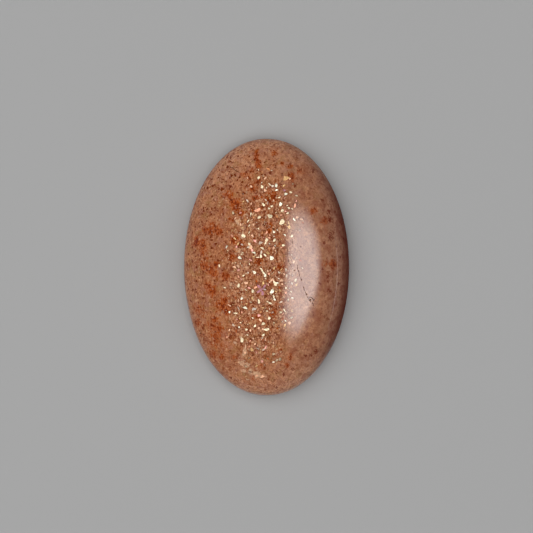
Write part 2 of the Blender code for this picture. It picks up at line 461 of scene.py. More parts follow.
@dataclass(frozen=True)
class Platelet:
    """One flat copper coloured crystal: its corners in plan in millimetres, and its colour."""

    corners: Array
    tint: Tint

    @property
    def middle(self) -> Array:
        """Middle of the corners."""
        return self.corners.mean(axis=0)

    @property
    def reach(self) -> float:
        """Distance from the middle to the farthest corner."""
        return float(np.linalg.norm(self.corners - self.middle, axis=1).max())


@dataclass
class PlateletBed:
    """The platelets, laid out by Geometry Nodes: the large ones as listed, the small at random."""

    band: GlitterBand
    material: bpy.types.Material
    least: float = 0.09 * MM
    greatest: float = 0.48 * MM
    apart: float = 0.115 * MM
    density: float = 34.0e6
    ragged: float = 0.25
    seed: int = 11
    # The sheet that they are scattered on, in mm: its reach across and along, and its grid's step.
    across: tuple[float, float] = (-5.2, 5.5)
    along: tuple[float, float] = (-12.4, 11.2)
    step: float = 0.2
    # Small ones outnumber larger ones by this power, and are this slim.
    smallness: float = 1.8
    slimness: tuple[float, float] = (0.2, 0.72)
    turns: tuple[float, float] = (35, 165)
    corners: tuple[int, ...] = (5, 6, 7, 8)
    clumps_per_mm: float = 0.45
    # Two platelets keep this share of their reaches apart.
    elbow_room: float = 0.82

    def field(self) -> bpy.types.Object:
        """Makes the sheet that the nodes read: a grid over the band, and a point a large platelet.

        Returns:
            An object whose grid carries the band's strength and whose loose points carry sizes.
        """
        wide, long = np.arange(*self.across, self.step), np.arange(*self.along, self.step)
        x, y = (part.ravel() for part in np.meshgrid(wide, long))
        row = len(wide)
        corners = [j * row + i for j in range(len(long) - 1) for i in range(row - 1)]
        quads = [(k, k + 1, k + row + 1, k + row) for k in corners]
        tints = list(Tint)
        large = np.array([(*p[:5], -1 - tints.index(p[5])) for p in LARGE_PLATELETS]).T
        none, zeros, ones = np.zeros(len(x)), np.zeros(large.shape[1]), np.ones(large.shape[1])
        grid = np.stack([x * MM, y * MM, none], 1)
        chosen = np.stack([large[0] * NEARER * MM, large[1] * NEARER * MM, zeros], 1)
        mesh = bpy.data.meshes.new("platelet_field")
        mesh.from_pydata(np.concatenate([grid, chosen]), [], quads)
        values = {
            "glitter": (self.band.strength(x, y), zeros),
            "chosen": (none, ones),
            "long": (none, large[2] * FULLER * MM),
            "wide": (none, large[3] * FULLER * MM),
            "turn": (none, np.radians(large[4])),
            "tint": (none, large[5]),
        }
        for name, parts in values.items():
            numbers = np.concatenate(parts).astype(np.float32)
            mesh.attributes.new(name, "FLOAT", "POINT").data.foreach_set("value", numbers)
        return new_object("platelet_field", mesh)

    def tree(self) -> Tree:
        """Builds the Geometry Nodes tree that scatters, shapes and turns the platelets.

        Returns:
            The tree, whose inputs are the sizes, the seed and the material.
        """
        tree = bpy.data.node_groups.new("platelet_bed", "GeometryNodeTree")
        add = partial(add_node, tree)
        sizes = ("Least length", "Greatest length", "Apart", "Density", "Raggedness")
        tree.interface.new_socket("Geometry", in_out="OUTPUT", socket_type="NodeSocketGeometry")
        for name, kind in (
            ("Geometry", "Geometry"),
            *((size, "Float") for size in sizes),
            ("Seed", "Int"),
            ("Material", "Material"),
        ):
            tree.interface.new_socket(name, in_out="INPUT", socket_type=f"NodeSocket{kind}")
        given = tree.nodes.new("NodeGroupInput").outputs
        stored = {
            name: add("GeometryNodeInputNamedAttribute", NUMBER, Name=name)
            for name in ("glitter", "chosen", "long", "wide", "turn")
        }
        ranges = {
            "size": (0, 1),
            "slimness": self.slimness,
            "turn": tuple(math.radians(turn) for turn in self.turns),
            "tint": (0, 1),
        }
        drawn = {
            name: add("FunctionNodeRandomValue", NUMBER, in_2=low, in_3=high, Seed=seed).outputs[1]
            for seed, (name, (low, high)) in enumerate(ranges.items(), start=1)
        }
        parts = add(
            "GeometryNodeSeparateGeometry",
            {"domain": "POINT"},
            Geometry=given["Geometry"],
            Selection=stored["chosen"],
        )
        large = add("GeometryNodeMeshToPoints", Mesh=parts.outputs["Selection"])
        # The small ones lie in clumps some millimetres apart, with barer stone between.
        clumps = add("ShaderNodeTexNoise", Scale=self.clumps_per_mm / MM, Detail=1.0)
        thick = add("ShaderNodeMapRange", in_0=clumps, in_1=0.38, in_2=0.6, in_3=0.3, in_4=1.0)
        points = add(
            "GeometryNodeDistributePointsOnFaces",
            {"distribute_method": "POISSON"},
            Mesh=parts.outputs["Inverted"],
            Distance_Min=given["Apart"],
            Density_Max=given["Density"],
            Density_Factor=add("ShaderNodeMath", TIMES, in_0=stored["glitter"], in_1=thick),
            Seed=given["Seed"],
        )
        skew = add("ShaderNodeMath", {"operation": "POWER"}, in_0=drawn["size"], in_1=self.smallness)
        lengths = {"in_3": given["Least length"], "in_4": given["Greatest length"]}
        length = add("ShaderNodeMapRange", in_0=skew, **lengths)
        width = add("ShaderNodeMath", TIMES, in_0=length, in_1=drawn["slimness"])
        kept = NUMBER | {"domain": "POINT"}
        for name, value in (
            ("long", length),
            ("wide", width),
            ("turn", drawn["turn"]),
            ("tint", drawn["tint"]),
        ):
            points = add("GeometryNodeStoreNamedAttribute", kept, Geometry=points, Name=name, Value=value)
        points = add("GeometryNodeJoinGeometry", Geometry=points)
        tree.links.new(large.outputs[0], points.inputs[0])
        shapes = add("GeometryNodeJoinGeometry")
        for corners in self.corners:
            ring = add("GeometryNodeMeshCircle", {"fill_type": "NGON"}, Vertices=corners, Radius=0.5)
            one = add("GeometryNodeGeometryToInstance", Geometry=ring)
            tree.links.new(one.outputs[0], shapes.inputs[0])
        turned = add("ShaderNodeCombineXYZ", Z=stored["turn"])
        last = len(self.corners) - 1
        pick = add("FunctionNodeRandomValue", {"data_type": "INT"}, in_4=0, in_5=last, Seed=5)
        laid = add(
            "GeometryNodeInstanceOnPoints",
            Points=points,
            Instance=shapes,
            Pick_Instance=True,
            Instance_Index=pick.outputs[2],
            Rotation=add("FunctionNodeEulerToRotation", Euler=turned),
            Scale=add("ShaderNodeCombineXYZ", X=stored["long"], Y=stored["wide"], Z=1.0),
        )
        real = add("GeometryNodeRealizeInstances", Geometry=laid)
        vector = {"data_type": "FLOAT_VECTOR"}
        push = add("FunctionNodeRandomValue", vector, in_0=(-1, -1, 0), in_1=(1, 1, 0), Seed=6)
        far = add("ShaderNodeMath", TIMES, in_0=stored["wide"], in_1=given["Raggedness"])
        offset = add("ShaderNodeVectorMath", SCALED, in_0=push, Scale=far)
        ragged = add("GeometryNodeSetPosition", Geometry=real, Offset=offset)
        dressed = add("GeometryNodeSetMaterial", Geometry=ragged, Material=given["Material"])
        add("NodeGroupOutput", Geometry=dressed)
        return tree

    def platelets(self) -> list[Platelet]:
        """Runs the tree and reads the platelets that it lays out.

        Returns:
            The large platelets first, then the small ones that don't run into any other.
        """
        bed = self.field()
        tree = self.tree()
        nodes = bed.modifiers.new("platelet_bed", "NODES")
        nodes.node_group = tree
        wanted = {
            "Least length": self.least,
            "Greatest length": self.greatest,
            "Apart": self.apart,
            "Density": self.density,
            "Raggedness": self.ragged,
            "Seed": self.seed,
            "Material": self.material,
        }
        for item in tree.interface.items_tree:
            if item.in_out == "INPUT" and item.name in wanted:
                nodes[item.identifier] = wanted[item.name]
        graph = bpy.context.evaluated_depsgraph_get()
        flakes = bpy.data.meshes.new_from_object(bed.evaluated_get(graph))
        bpy.data.objects.remove(bed)
        tints = list(Tint)
        steps = np.cumsum([tint.share for tint in tints])
        found = []
        for flat in flakes.polygons:
            ids = list(flat.vertices)
            mark = flakes.attributes["tint"].data[ids[0]].value
            at = round(-1 - mark) if mark < 0 else min(bisect(steps, mark), len(tints) - 1)
            corners = np.array([flakes.vertices[i].co[:2] for i in ids]) / MM
            out = corners - corners.mean(axis=0)
            corners = corners[np.argsort(np.arctan2(out[:, 1], out[:, 0]))]
            found.append((mark >= 0, Platelet(corners, tints[at])))
        found.sort(key=lambda pair: pair[0])
        middles = np.array([one.middle for _, one in found])
        reaches = np.array([one.reach for _, one in found])
        kept: list[int] = []
        for i, (is_small, _) in enumerate(found):
            room = self.elbow_room * (reaches[kept] + reaches[i])
            gaps = np.linalg.norm(middles[kept] - middles[i], axis=1) - room
            if not is_small or gaps.min(initial=1) > 0:
                kept.append(i)
        return [found[i][1] for i in kept]


@dataclass(frozen=True)
class Hollow:
    """A groove or a pit in the polish: its outline, and the points of its floor with their depths."""

    outline: Array
    floor: Array
    depths: Array

    @staticmethod
    def crack(points: list[tuple[float, float]], half_width: float, depth: float, seed: int) -> "Hollow":
        """Makes a hair crack that runs ragged along points and closes to nothing at both ends.

        Args:
            points: Its course in plan, in millimetres.
            half_width: Half its width at its widest.
            depth: Its depth at its deepest.
            seed: Seed of its raggedness.

        Returns:
            The hollow.
        """
        step, ragged = 0.13, 0.045
        chance = np.random.default_rng(seed)
        course = np.array(points, float) * NEARER
        run = np.concatenate([[0], np.cumsum(np.linalg.norm(np.diff(course, axis=0), axis=1))])
        at = np.linspace(0, run[-1], max(6, int(run[-1] / step)))
        line = np.stack([np.interp(at, run, course[:, k]) for k in (0, 1)], 1)
        aim = np.gradient(line, axis=0)
        aim /= np.linalg.norm(aim, axis=1, keepdims=True)
        side = np.stack([-aim[:, 1], aim[:, 0]], 1)
        line[1:-1] += side[1:-1] * chance.uniform(-ragged, ragged, (len(at) - 2, 1))
        swell = np.sin(np.linspace(0, math.pi, len(at))) ** 0.3 * chance.uniform(0.4, 1.2, len(at))
        left = line + side * (half_width * swell)[:, None]
        right = line - side * (half_width * swell)[:, None]
        outline = np.concatenate([line[:1], right[1:-1], line[-1:], left[1:-1][::-1]])
        return Hollow(outline, line, depth * swell * (np.arange(len(at)) % (len(at) - 1) > 0))

    @staticmethod
    def pit(x: float, y: float, radius: float, depth: float, seed: int) -> "Hollow":
        """Makes a small ragged pit.

        Args:
            x: Its place across the plan, in millimetres.
            y: Its place along it.
            radius: Its radius.
            depth: Its depth.
            seed: Seed of its raggedness.

        Returns:
            The hollow.
        """
        chance = np.random.default_rng(seed)
        corners = 9
        turn = np.sort(np.arange(corners) + chance.uniform(-0.25, 0.25, corners)) * 2 * math.pi / corners
        out = radius * chance.uniform(0.65, 1.15, corners)
        middle = np.array([x, y]) * NEARER
        outline = middle + np.stack([out * np.cos(turn), out * np.sin(turn)], 1)
        floor = middle + np.array([[0, 0], [radius * 0.2, 0]])
        return Hollow(outline, floor, np.array([depth, depth * 0.8]))


@dataclass
class PolishedStone:
    """The sunstone itself: one closed mesh with a dome, a girdle, a bevel and a flat back."""

    cut: Cut
    band: GlitterBand
    platelets: list[Platelet]
    hollows: list[Hollow]
    rings: int = 84
    facets: int = 396
    bevel_steps: int = 4
    # Points of the dome keep this many millimetres clear of the platelets' edges.
    clearance: float = 0.035
    # A platelet with less reach than this, in mm, is a small one.
    small: float = 0.12
    # Slopes of the plane that the platelets share, which faces between the eye and the light, and
    # how far the small and the large ones stray from it.
    plane: tuple[float, float] = (0.30, -0.05)
    stray: tuple[float, float] = (0.26, 0.10)
    # The most that chance veils the small and the large ones, and the stone's colour in the veil.
    veil: tuple[float, float] = (0.45, 0.15)
    veil_colour: str = "#A5643F"
    mesh: bpy.types.Mesh = field(init=False, default=None)

    def ring_points(self) -> Array:
        """Lays out the dome's points in plan, on rings that crowd towards the rim, where it steepens.

        Returns:
            Rows of x and y in millimetres.
        """
        rows = [np.zeros((1, 2))]
        for k in range(1, self.rings + 1):
            share = math.sin(k / self.rings * math.pi / 2)
            count = self.facets if k == self.rings else max(6, 6 * round(self.facets * share / 6))
            rows.append(self.cut.rim(count, share))
        return np.concatenate(rows) / MM

    def clear_of(self, points: Array, outline: Array) -> Array:
        """Finds which points keep clear of an outline's edges.

        Args:
            points: Points of the plan, as rows.
            outline: Corners of the outline, as rows.

        Returns:
            True for each point that does.
        """
        kept = np.ones(len(points), bool)
        low, high = outline.min(0) - self.clearance, outline.max(0) + self.clearance
        near = np.flatnonzero(((points >= low) & (points <= high)).all(1))
        for start, end in zip(outline, np.roll(outline, -1, 0), strict=True):
            run = end - start
            share = np.clip((points[near] - start) @ run / max(run @ run, TINY), 0, 1)
            gap = np.linalg.norm(points[near] - start - share[:, None] * run, axis=1)
            kept[near[gap < self.clearance]] = False
        return kept

    def plan(self) -> tuple[Array, list, list, dict[int, float]]:
        """Meshes the dome in plan, with the platelets and the hollows as faces of their own.

        Returns:
            Points in metres, triangles, the kind of each triangle (0 for plain stone, a positive
            number for a platelet, a negative one for a hollow), and the depth at each sunken point.
        """
        shapes = [p.corners for p in self.platelets] + [h.outline for h in self.hollows]
        points = self.ring_points()
        for shape in shapes:
            points = points[self.clear_of(points, shape)]
        rows, faces, edges, depth = [points], [], [], {}
        count = len(points)
        for shape in shapes:
            rows.append(shape)
            faces.append(list(range(count, count + len(shape))))
            count += len(shape)
        for hollow in self.hollows:
            rows.append(hollow.floor)
            ids = range(count, count + len(hollow.floor))
            edges += list(zip(ids, ids[1:], strict=False))
            depth.update(zip(ids, hollow.depths, strict=True))
            count += len(hollow.floor)
        everything = [Vector(p) for p in np.concatenate(rows)]
        verts, _, tris, sources, _, owners = delaunay_2d_cdt(everything, edges, faces, 0, 1e-4)
        lasts = [max(owner, default=-1) for owner in owners]
        kinds = [last + 1 if last < len(self.platelets) else -1 for last in lasts]
        deepest = {i: max(depth.get(s, 0.0) for s in source) for i, source in enumerate(sources) if source}
        sunk = {i: deep * MM for i, deep in deepest.items() if deep > 0}
        return np.array([tuple(v) for v in verts]) * MM, tris, kinds, sunk

    def build(self) -> bpy.types.Object:
        """Makes the stone's object.

        Returns:
            The object, with its place in its mesh.
        """
        plan, tris, kinds, sunk = self.plan()
        z = self.cut.dome(plan[:, 0], plan[:, 1])
        for i, depth in sunk.items():
            z[i] -= depth
        bm = bmesh.new()
        kind_layer = bm.faces.layers.int.new("kind")
        verts = [bm.verts.new((x, y, h)) for (x, y), h in zip(plan, z, strict=True)]
        for tri, kind in zip(tris, kinds, strict=True):
            made = bm.faces.new([verts[i] for i in tri])
            made[kind_layer] = kind
            made.material_index = 1 if kind > 0 else 0
        self.close_below(bm)
        bmesh.ops.recalc_face_normals(bm, faces=bm.faces[:])
        self.mesh = bpy.data.meshes.new("polished_stone")
        bm.to_mesh(self.mesh)
        bm.free()
        self.mark()
        self.inlay()
        self.shade()
        self.unfold()
        return new_object("polished_stone", self.mesh)

    def close_below(self, bm: bmesh.types.BMesh) -> None:
        """Draws the rim down as the girdle and the bevel, and closes the flat back.

        Args:
            bm: The dome, open below.
        """
        cut = self.cut
        heights = (0.94 * cut.girdle, 0.7 * cut.girdle, cut.bevel)
        levels = [(cut.draft * (1 - height / cut.girdle), height) for height in heights]
        foot = levels[-1][0]
        for k in range(1, self.bevel_steps + 1):
            turn = k / self.bevel_steps * math.pi / 2
            inset = foot + cut.bevel * (1 - math.cos(turn))
            levels.append((inset, cut.bevel * (1 - math.sin(turn))))
        edge = [e for e in bm.edges if e.is_boundary]
        above = 0.0
        for inset, height in levels:
            made = bmesh.ops.extrude_edge_only(bm, edges=edge)["geom"]
            for v in (item for item in made if isinstance(item, bmesh.types.BMVert)):
                reach = math.hypot(v.co.x, v.co.y)
                kept = (reach - inset + above) / reach
                v.co = (v.co.x * kept, v.co.y * kept, height)
            edge = [item for item in made if isinstance(item, bmesh.types.BMEdge) and item.is_boundary]
            above = inset
        for back in bmesh.ops.holes_fill(bm, edges=edge)["faces"]:
            back.material_index = 2

    def store(self, name: str, domain: str, values: Array) -> None:
        """Stores numbers or vectors on the mesh for the materials to read.

        Args:
            name: Name of the attribute.
            domain: POINT or FACE.
            values: A number or a row of three for each point or face.
        """
        values = np.asarray(values, np.float32)
        kind, slot = ("FLOAT", "value") if values.ndim == 1 else ("FLOAT_VECTOR", "vector")
        self.mesh.attributes.new(name, kind, domain).data.foreach_set(slot, values.ravel())

    def pools(self, x: Array, y: Array, spots: tuple[tuple[float, float, float, float], ...]) -> Array:
        """Lays soft round spots over the plan, of which the strongest counts where they meet.

        Args:
            x: Places across the plan, in millimetres.
            y: Places along it.
            spots: The place, radius and strength of each spot.

        Returns:
            A strength at each place.
        """
        strongest = np.zeros(len(x))
        for cx, cy, radius, strength in spots:
            apart = (x - cx * NEARER) ** 2 + (y - cy * NEARER) ** 2
            np.maximum(strongest, strength * 1.1 * np.exp(-apart / (1.6 * radius**2)), out=strongest)
        return strongest

    def mark(self) -> None:
        """Stores where the stone is stained, speckled or glittering, where light and shade are painted on
        it, and how glossy it is.
        """
        points = np.array([tuple(v.co) for v in self.mesh.vertices])
        x, y = points[:, 0] / MM, points[:, 1] / MM
        share = self.cut.share(points[:, 0], points[:, 1])
        over = np.maximum(share, TINY)
        across = points[:, 0] / self.cut.width * 2 / over
        along = points[:, 1] / self.cut.length * 2 / over
        # Painted shade: the right side is drawn darker, to maroon, down to the girdle, which is drawn
        # lighter.
        dusk = 0.2 * smooth(0.76, 0.82, share) + 0.8 * smooth(0.86, 0.995, share)
        dusk *= smooth(0.45, 0.97, across)
        dusk *= 0.45 + 0.55 * smooth(0.3, 1.0, points[:, 2] / self.cut.girdle)
        # Painted light: the stone is drawn paler towards both ends, where light shows through it,
        # most at the lower one and least at its left.
        haze = smooth(0.6, 0.98, share) * smooth(0.35, 0.95, np.abs(along))
        haze *= smooth(0.75, 0.3, across + 0.12 * along)
        haze *= 1 - 0.9 * smooth(0.1, 0.6, -across) * smooth(0.2, 0.6, -along)
        # Painted reflection: a pale line along the lower edge.
        haze *= 1 + 0.8 * smooth(0.88, 0.97, share) * smooth(0.3, 0.8, -along)
        # Specks are thickest on the left and at the upper left, and there is a patch on the right.
        specks = 0.4 + 0.6 * smooth(2.5, -2.0, x - 0.12 * y) * smooth(-11, -7, y) * smooth(13.5, 10.5, y)
        right = 0.5 * smooth(4.5, 6.5, x) * smooth(-6, -1, y) * smooth(11, 7, y)
        specks = np.maximum(specks, right)
        upper_left, lower_left = smooth(3, 8, y) * smooth(1, -3, x), smooth(-1, -4, y) * smooth(-2, -6, x)
        specks *= 1 + 0.4 * upper_left - 0.2 * lower_left
        # The wheel hardly reaches down to the girdle, so the gloss is softer there, but at the lower end.
        # The gloss is also thinner under the painted shade on the right.
        gloss = (1 - 0.5 * smooth(0.78, 0.95, share)) * (1 - 0.8 * smooth(0.2, 1, dusk))
        end = smooth(0.965, 0.985, share) * smooth(0.2, 0.6, -along - 0.25 * across)
        gloss = np.maximum(gloss, end * (points[:, 2] > 0.99 * self.cut.girdle))
        for name, values in {
            "glitter": self.band.strength(x, y),
            "stain": self.pools(x, y, STAINS),
            "smudge": self.pools(x, y, SMUDGES),
            "glow": self.pools(x, y, GLOWS),
            "dusk": dusk,
            "haze": haze,
            # Painted light: the left rim is drawn paler, where light shows through the stone.
            "rim": smooth(0.84, 0.99, share) * smooth(0.3, 1, -across),
            "gloss": gloss,
            "specks": specks,
            # Partly painted light: the right side's own pinker tone, drawn paler to even out its shade.
            "blush": 0.5 * smooth(0.5, 3.5, x) + 0.5 * smooth(4.5, 7.0, x),
        }.items():
            self.store(name, "POINT", values)

    def inlay(self) -> None:
        """Stores each platelet's colour, lie and painted shadow, and where a crack or a pit is."""
        kinds = np.zeros(len(self.mesh.polygons), int)
        self.mesh.attributes["kind"].data.foreach_get("value", kinds)
        self.store("crack", "FACE", kinds < 0)
        chance = np.random.default_rng(5)
        tints = np.array([linear(p.tint.colour)[:3] for p in self.platelets])
        leans = np.tile((*self.plane, 1.0), (len(tints), 1))
        small = np.array([p.reach < self.small for p in self.platelets])
        leans[:, :2] += chance.normal(0, 1, (len(tints), 2)) * np.where(small, *self.stray)[:, None]
        # The deeper ones are dimmed by the stone over them, and those beyond the band, which don't face
        # the light, get less painted glint.
        middles = np.array([p.middle for p in self.platelets])
        veiled = 0.18 * (1 - smooth(0.0, 0.3, self.band.strength(*middles.T)))
        veiled += 0.2 * smooth(-7.5, -9.5, middles[:, 1])
        veiled += chance.uniform(0, np.where(small, *self.veil)) * (1 - veiled)
        leans[:, 0] += 0.35 * veiled
        tints += (np.array(linear(self.veil_colour)[:3]) - tints) * veiled[:, None]
        inlaid = kinds > 0
        colours = np.zeros((len(kinds), 3))
        planes = np.tile((0.0, 0.0, 1.0), (len(kinds), 1))
        colours[inlaid] = tints[kinds[inlaid] - 1]
        planes[inlaid] = leans[kinds[inlaid] - 1]
        # Painted shadow: the stone is drawn darker right beside a bright platelet.
        fringe = np.zeros(len(self.mesh.vertices))
        bright = np.minimum(1, tints.mean(axis=1) * 2.2)
        for flat in self.mesh.polygons:
            if kinds[flat.index] > 0:
                corners = list(flat.vertices)
                fringe[corners] = np.maximum(fringe[corners], bright[kinds[flat.index] - 1])
        self.store("fringe", "POINT", fringe)
        self.store("tint", "FACE", colours)
        self.store("plane", "FACE", planes)

    def shade(self) -> None:
        """Gives every corner the cut's exact normal, and the hollows and the back their own flat one."""
        self.mesh.shade_smooth()
        exact = self.cut.normals(np.array([tuple(v.co) for v in self.mesh.vertices]))
        normals = np.zeros((len(self.mesh.loops), 3))
        kinds = self.mesh.attributes["kind"].data
        for flat in self.mesh.polygons:
            own = kinds[flat.index].value < 0 or flat.material_index == 2
            for at in flat.loop_indices:
                normals[at] = flat.normal if own else exact[self.mesh.loops[at].vertex_index]
        self.mesh.normals_split_custom_set(normals.tolist())

    def unfold(self) -> None:
        """Lays the stone out flat on a map of its own: the dome, and the back beside it."""
        layout = self.mesh.uv_layers.new(name="OFBake")
        points = np.array([tuple(v.co) for v in self.mesh.vertices])
        plan = points[:, :2]
        share = np.maximum(self.cut.share(plan[:, 0], plan[:, 1]), TINY)
        # The steep shoulder gets more room than it has in plan. The dome fills the sheet's left.
        spread = 0.6 + 0.4 * np.arcsin(np.clip(share, 0, 1)) / share * 2 / math.pi
        dome = plan * spread[:, None] * 0.96 / self.cut.length + np.array([0.322, 0.5])
        # The girdle is folded out round the back, and the two fill the sheet's right.
        reach = np.maximum(np.linalg.norm(plan, axis=1), TINY)
        apron = plan * (1 + 1.3 * np.maximum(points[:, 2], 0) / reach)[:, None]
        below = apron * 0.0164 / MM + np.array([0.815, 0.5])
        for flat in self.mesh.polygons:
            lowest = points[list(flat.vertices), 2].min()
            source = dome if lowest >= self.cut.girdle * 0.99 or flat.normal.z > 0.05 else below
            for at in flat.loop_indices:
                layout.data[at].uv = source[self.mesh.loops[at].vertex_index]


@dataclass(frozen=True)
class Layer:
    """One colour of the stone, laid over the ones before it where a pattern is strong."""

    colour: str
    pattern: str
    strength: float
    # The pattern's values between which the colour comes in. Without them its own value is taken.
    edges: tuple[float, float] | None = None
    # A second pattern that limits where the colour comes in.
    within: str | None = None


# The colours of the stone, from the ground up: its broad clouds, the painted light of its paler ends and
# left rim, the mottling, the mosaic of the glittering band, the pinker right side, which is partly painted
# light, the stains, and then the specks and what lies on top, with painted shadow round the platelets and
# painted shade on the right.
LAYERS = (
    Layer("#B07048", "broad", 1.0, (0.40, 0.62)),
    # Painted light: paler ends, where light shows through the stone.
    Layer("#D49E7E", "haze", 0.8),
    # Painted light: a paler left rim, where light shows through.
    Layer("#C88A66", "rim", 0.4),
    Layer("#B47A5A", "glitter", 0.6, (0.05, 0.7)),
    Layer("#85411E", "mottle", 0.7, (0.50, 0.34)),
    Layer("#C8845A", "mottle", 0.75, (0.54, 0.68)),
    Layer("#7C3812", "grain", 0.85, (0.47, 0.34)),
    Layer("#CE8C62", "grain", 0.8, (0.53, 0.66)),
    Layer("#8A3A16", "patches", 0.4, (0.47, 0.36)),
    Layer("#C6845A", "patches", 0.4, (0.53, 0.64)),
    Layer("#A46A58", "pink patches", 0.45, (0.54, 0.64)),
    Layer("#9C6C3A", "ochre patches", 0.45, (0.54, 0.64)),
    Layer("#A8481A", "pink patches", 0.5, (0.45, 0.36), "glitter"),
    Layer("#BE7E5C", "coarse shards", 0.6, (0.62, 0.85), "band"),
    Layer("#7E3410", "coarse shards", 0.7, (0.38, 0.12), "band"),
    Layer("#D8A078", "fine shards", 0.6, (0.61, 0.83), "band"),
    Layer("#682408", "fine shards", 0.76, (0.36, 0.12), "band"),
    Layer("#904412", "streaks", 0.72),
    # Partly painted light: the right side pinker and paler.
    Layer("#C6967A", "blush", 0.4),
    Layer("#8E4A30", "patches", 0.6, (0.51, 0.39), "blush"),
    Layer("#8A4428", "mottle", 0.5, (0.49, 0.37), "blush"),
    Layer("#AC5420", "stain", 0.6, (0.05, 0.75)),
    Layer("#AA4C10", "stain flecks", 0.85, (0.0, 0.22)),
    Layer("#8A340A", "stain blots", 0.6, (0.1, 0.35)),
    Layer("#702206", "stain cores", 0.85, (0.05, 0.2)),
    Layer("#96654E", "blush", 0.2),
    Layer("#6E1E06", "smudge flecks", 0.8, (0.0, 0.5)),
    Layer("#E8BC96", "glow flecks", 0.72, (0.0, 0.6)),
    Layer("#70280A", "small specks", 1.0, None, "speckled"),
    Layer("#7A300A", "large specks", 1.0, None, "speckled"),
    Layer("#E8BC94", "pale specks", 1.0, None, "pale"),
    # Painted shadow round the bright platelets.
    Layer("#5C2810", "fringe", 0.45),
    # Painted shade: the right side drawn dark maroon.
    Layer("#540A04", "dusk", 0.84),
    Layer("#3E2014", "crack", 0.8),
)


@dataclass(frozen=True)
class Feldspar:
    """Polished feldspar, peach brown and slightly see-through.

    Grown with iron in it and polished to glass: mottled from one millimetre to the next, with dark
    specks, rusty stains and blurred platelets below the surface, all under one clear sharp gloss.
    """

    ground: str = "#9F6140"
    polish: float = 0.045
    # Sizes of the patterns, as how many of their grains there are to a millimetre.
    broad_per_mm: float = 0.33
    patches_per_mm: float = 1.1
    mottle_per_mm: float = 2.4
    grain_per_mm: float = 5.5
    drift_per_mm: float = 3.4
    # The patterns are pushed about by up to half this many millimetres, so that none is regular.
    drift: float = 0.38

    def spots(
        self,
        add: partial,
        where: Node,
        apart: float,
        radius: float,
        core: float,
        share: float,
    ) -> Node:
        """Scatters ragged spots of random size through the stone.

        Args:
            add: add_node for the material's tree.
            where: The place in the stone, in millimetres.
            apart: Distance between spots in millimetres.
            radius: Radius of the largest spots in millimetres.
            core: Share of a spot's radius that is of full strength.
            share: Share of the places for a spot that have one.

        Returns:
            A node that gives how far inside a spot a place is, from 0 to 1.
        """
        cells = add("ShaderNodeTexVoronoi", Vector=where, Scale=1 / apart)
        drawn = add("ShaderNodeSeparateXYZ", in_0=cells.outputs["Color"])
        sizes = {"in_3": 0.4 * radius / apart, "in_4": radius / apart}
        reach = add("ShaderNodeMapRange", in_0=drawn, in_1=1 - share, in_2=1.0, **sizes)
        there = add("ShaderNodeMath", {"operation": "GREATER_THAN"}, in_0=drawn, in_1=1 - share)
        near = add("ShaderNodeMath", {"operation": "DIVIDE"}, in_0=cells.outputs["Distance"], in_1=reach)
        return add("ShaderNodeMapRange", SOFT, in_0=near, in_1=1.0, in_2=core, in_3=0.0, in_4=there)

    def shards(self, add: partial, where: Node, turn: float, stretch: float, size: float) -> Node:
        """Lays a mosaic of soft shards, each with a number of its own.

        Args:
            add: add_node for the material's tree.
            where: The place in the stone, in millimetres.
            turn: Direction of the shards.
            stretch: How much longer than wide they are.
            size: Their length in millimetres.

        Returns:
            A node whose first output is the shard's number, from 0 to 1.
        """
        laid = add("ShaderNodeMapping", Vector=where, Rotation=(0, 0, turn), Scale=(stretch, 1, 1))
        kind = {"feature": "SMOOTH_F1"}
        cells = add("ShaderNodeTexVoronoi", kind, Vector=laid, Scale=1 / size, Smoothness=0.25)
        return add("ShaderNodeSeparateXYZ", in_0=cells.outputs["Color"])

    def patterns(self, add: partial, mm: Node) -> dict[str, object]:
        """Makes every pattern that the layers of colour name.

        Args:
            add: add_node for the material's tree.
            mm: The place in the stone, in millimetres.

        Returns:
            The node or the socket of each pattern, by its name.
        """
        drift = add("ShaderNodeTexNoise", Vector=mm, Scale=self.drift_per_mm, Detail=2.0)
        level = {"in_0": drift.outputs["Color"], "in_1": (0.5,) * 3}
        centred = add("ShaderNodeVectorMath", {"operation": "SUBTRACT"}, **level)
        push = add("ShaderNodeVectorMath", SCALED, in_0=centred, Scale=self.drift)
        warped = add("ShaderNodeVectorMath", {"operation": "ADD"}, in_0=mm, in_1=push)
        marks = "glitter stain smudge glow dusk haze rim gloss specks blush crack fringe"
        found: dict[str, object] = {
            name: add("ShaderNodeAttribute", {"attribute_name": name}).outputs["Fac"]
            for name in marks.split()
        }
        for name, where, scale, detail, rough in (
            ("broad", mm, self.broad_per_mm, 3.0, 0.5),
            ("mottle", warped, self.mottle_per_mm, 3.0, 0.6),
            ("grain", warped, self.grain_per_mm, 2.0, 0.5),
            ("patches", warped, self.patches_per_mm, 2.0, 0.5),
        ):
            sizes = {"Scale": scale, "Detail": detail, "Roughness": rough}
            found[name] = add("ShaderNodeTexNoise", Vector=where, **sizes)
        hues = add("ShaderNodeSeparateXYZ", in_0=found["patches"].outputs["Color"])
        found["pink patches"], found["ochre patches"] = hues.outputs[1], hues.outputs[2]
        found["fine shards"] = self.shards(add, warped, 0.35, 1.8, 0.19)
        found["coarse shards"] = self.shards(add, warped, -0.45, 1.5, 0.3)
        # Where the glitter is strong the mosaic shows and the specks don't.
        for name, source, low, high, foot, top in (
            ("band", "glitter", 0.0, 0.55, 0.25, 1.0),
            ("inside", "glitter", 0.0, 0.6, 0.4, 0.85),
            ("left", "blush", 0.7, 0.3, 0.0, 1.0),
            ("outside", "glitter", 0.0, 0.6, 1.0, 0.3),
        ):
            ends = {"in_1": low, "in_2": high, "in_3": foot, "in_4": top}
            found[name] = add("ShaderNodeMapRange", SOFT, in_0=found[source], **ends)
        for name, one, other in (("pale", "inside", "left"), ("speckled", "outside", "specks")):
            found[name] = add("ShaderNodeMath", TIMES, in_0=found[one], in_1=found[other])
